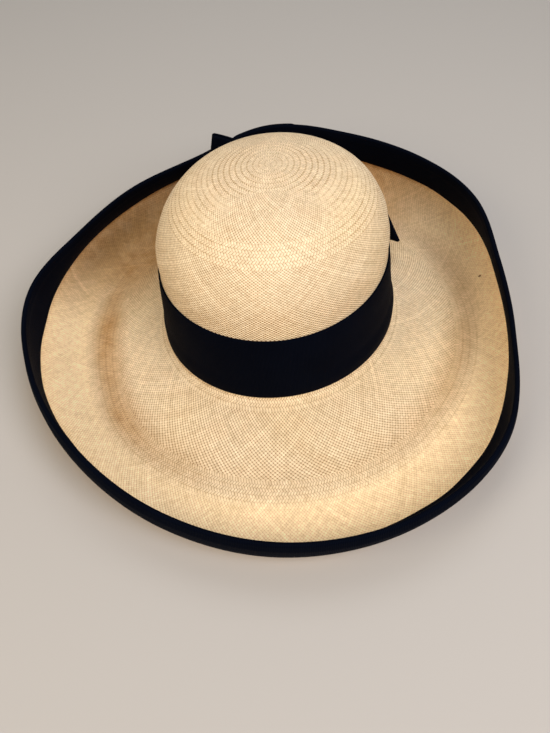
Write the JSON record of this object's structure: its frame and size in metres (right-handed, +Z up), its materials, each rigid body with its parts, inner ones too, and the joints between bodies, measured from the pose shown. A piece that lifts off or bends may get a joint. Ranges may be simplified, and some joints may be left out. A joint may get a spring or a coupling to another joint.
{
  "type": "wide-brim straw hat",
  "caption": "Woven straw hat with a rounded oval crown, a wide dished brim turned up all round, a dark ribbon band, a flat bow behind the crown and a ribbon-bound brim edge",
  "frame": {"origin": "centre of the bounding box in plan, at the bottom, on the surface that the hat rests on", "axes": "+Z up through the crown; -Y is the side that faces the viewer in the picture, opposite the bow; +X is to the viewer's right"},
  "size_m": [0.381, 0.425, 0.1447],
  "materials": {
    "woven_straw": "fine natural palm straw in a tight oblique basket weave, cream to light tan, matt",
    "ribbed_ribbon": "very dark navy grosgrain ribbon with fine cross ribs, low sheen"
  },
  "bodies": {
    "root": {"crown": "woven_straw", "brim": "woven_straw", "brim_binding": "ribbed_ribbon", "crown_band": "ribbed_ribbon", "bow_loop_left": "ribbed_ribbon", "bow_loop_right": "ribbed_ribbon", "bow_knot": "ribbed_ribbon"}
  },
  "joints": []
}
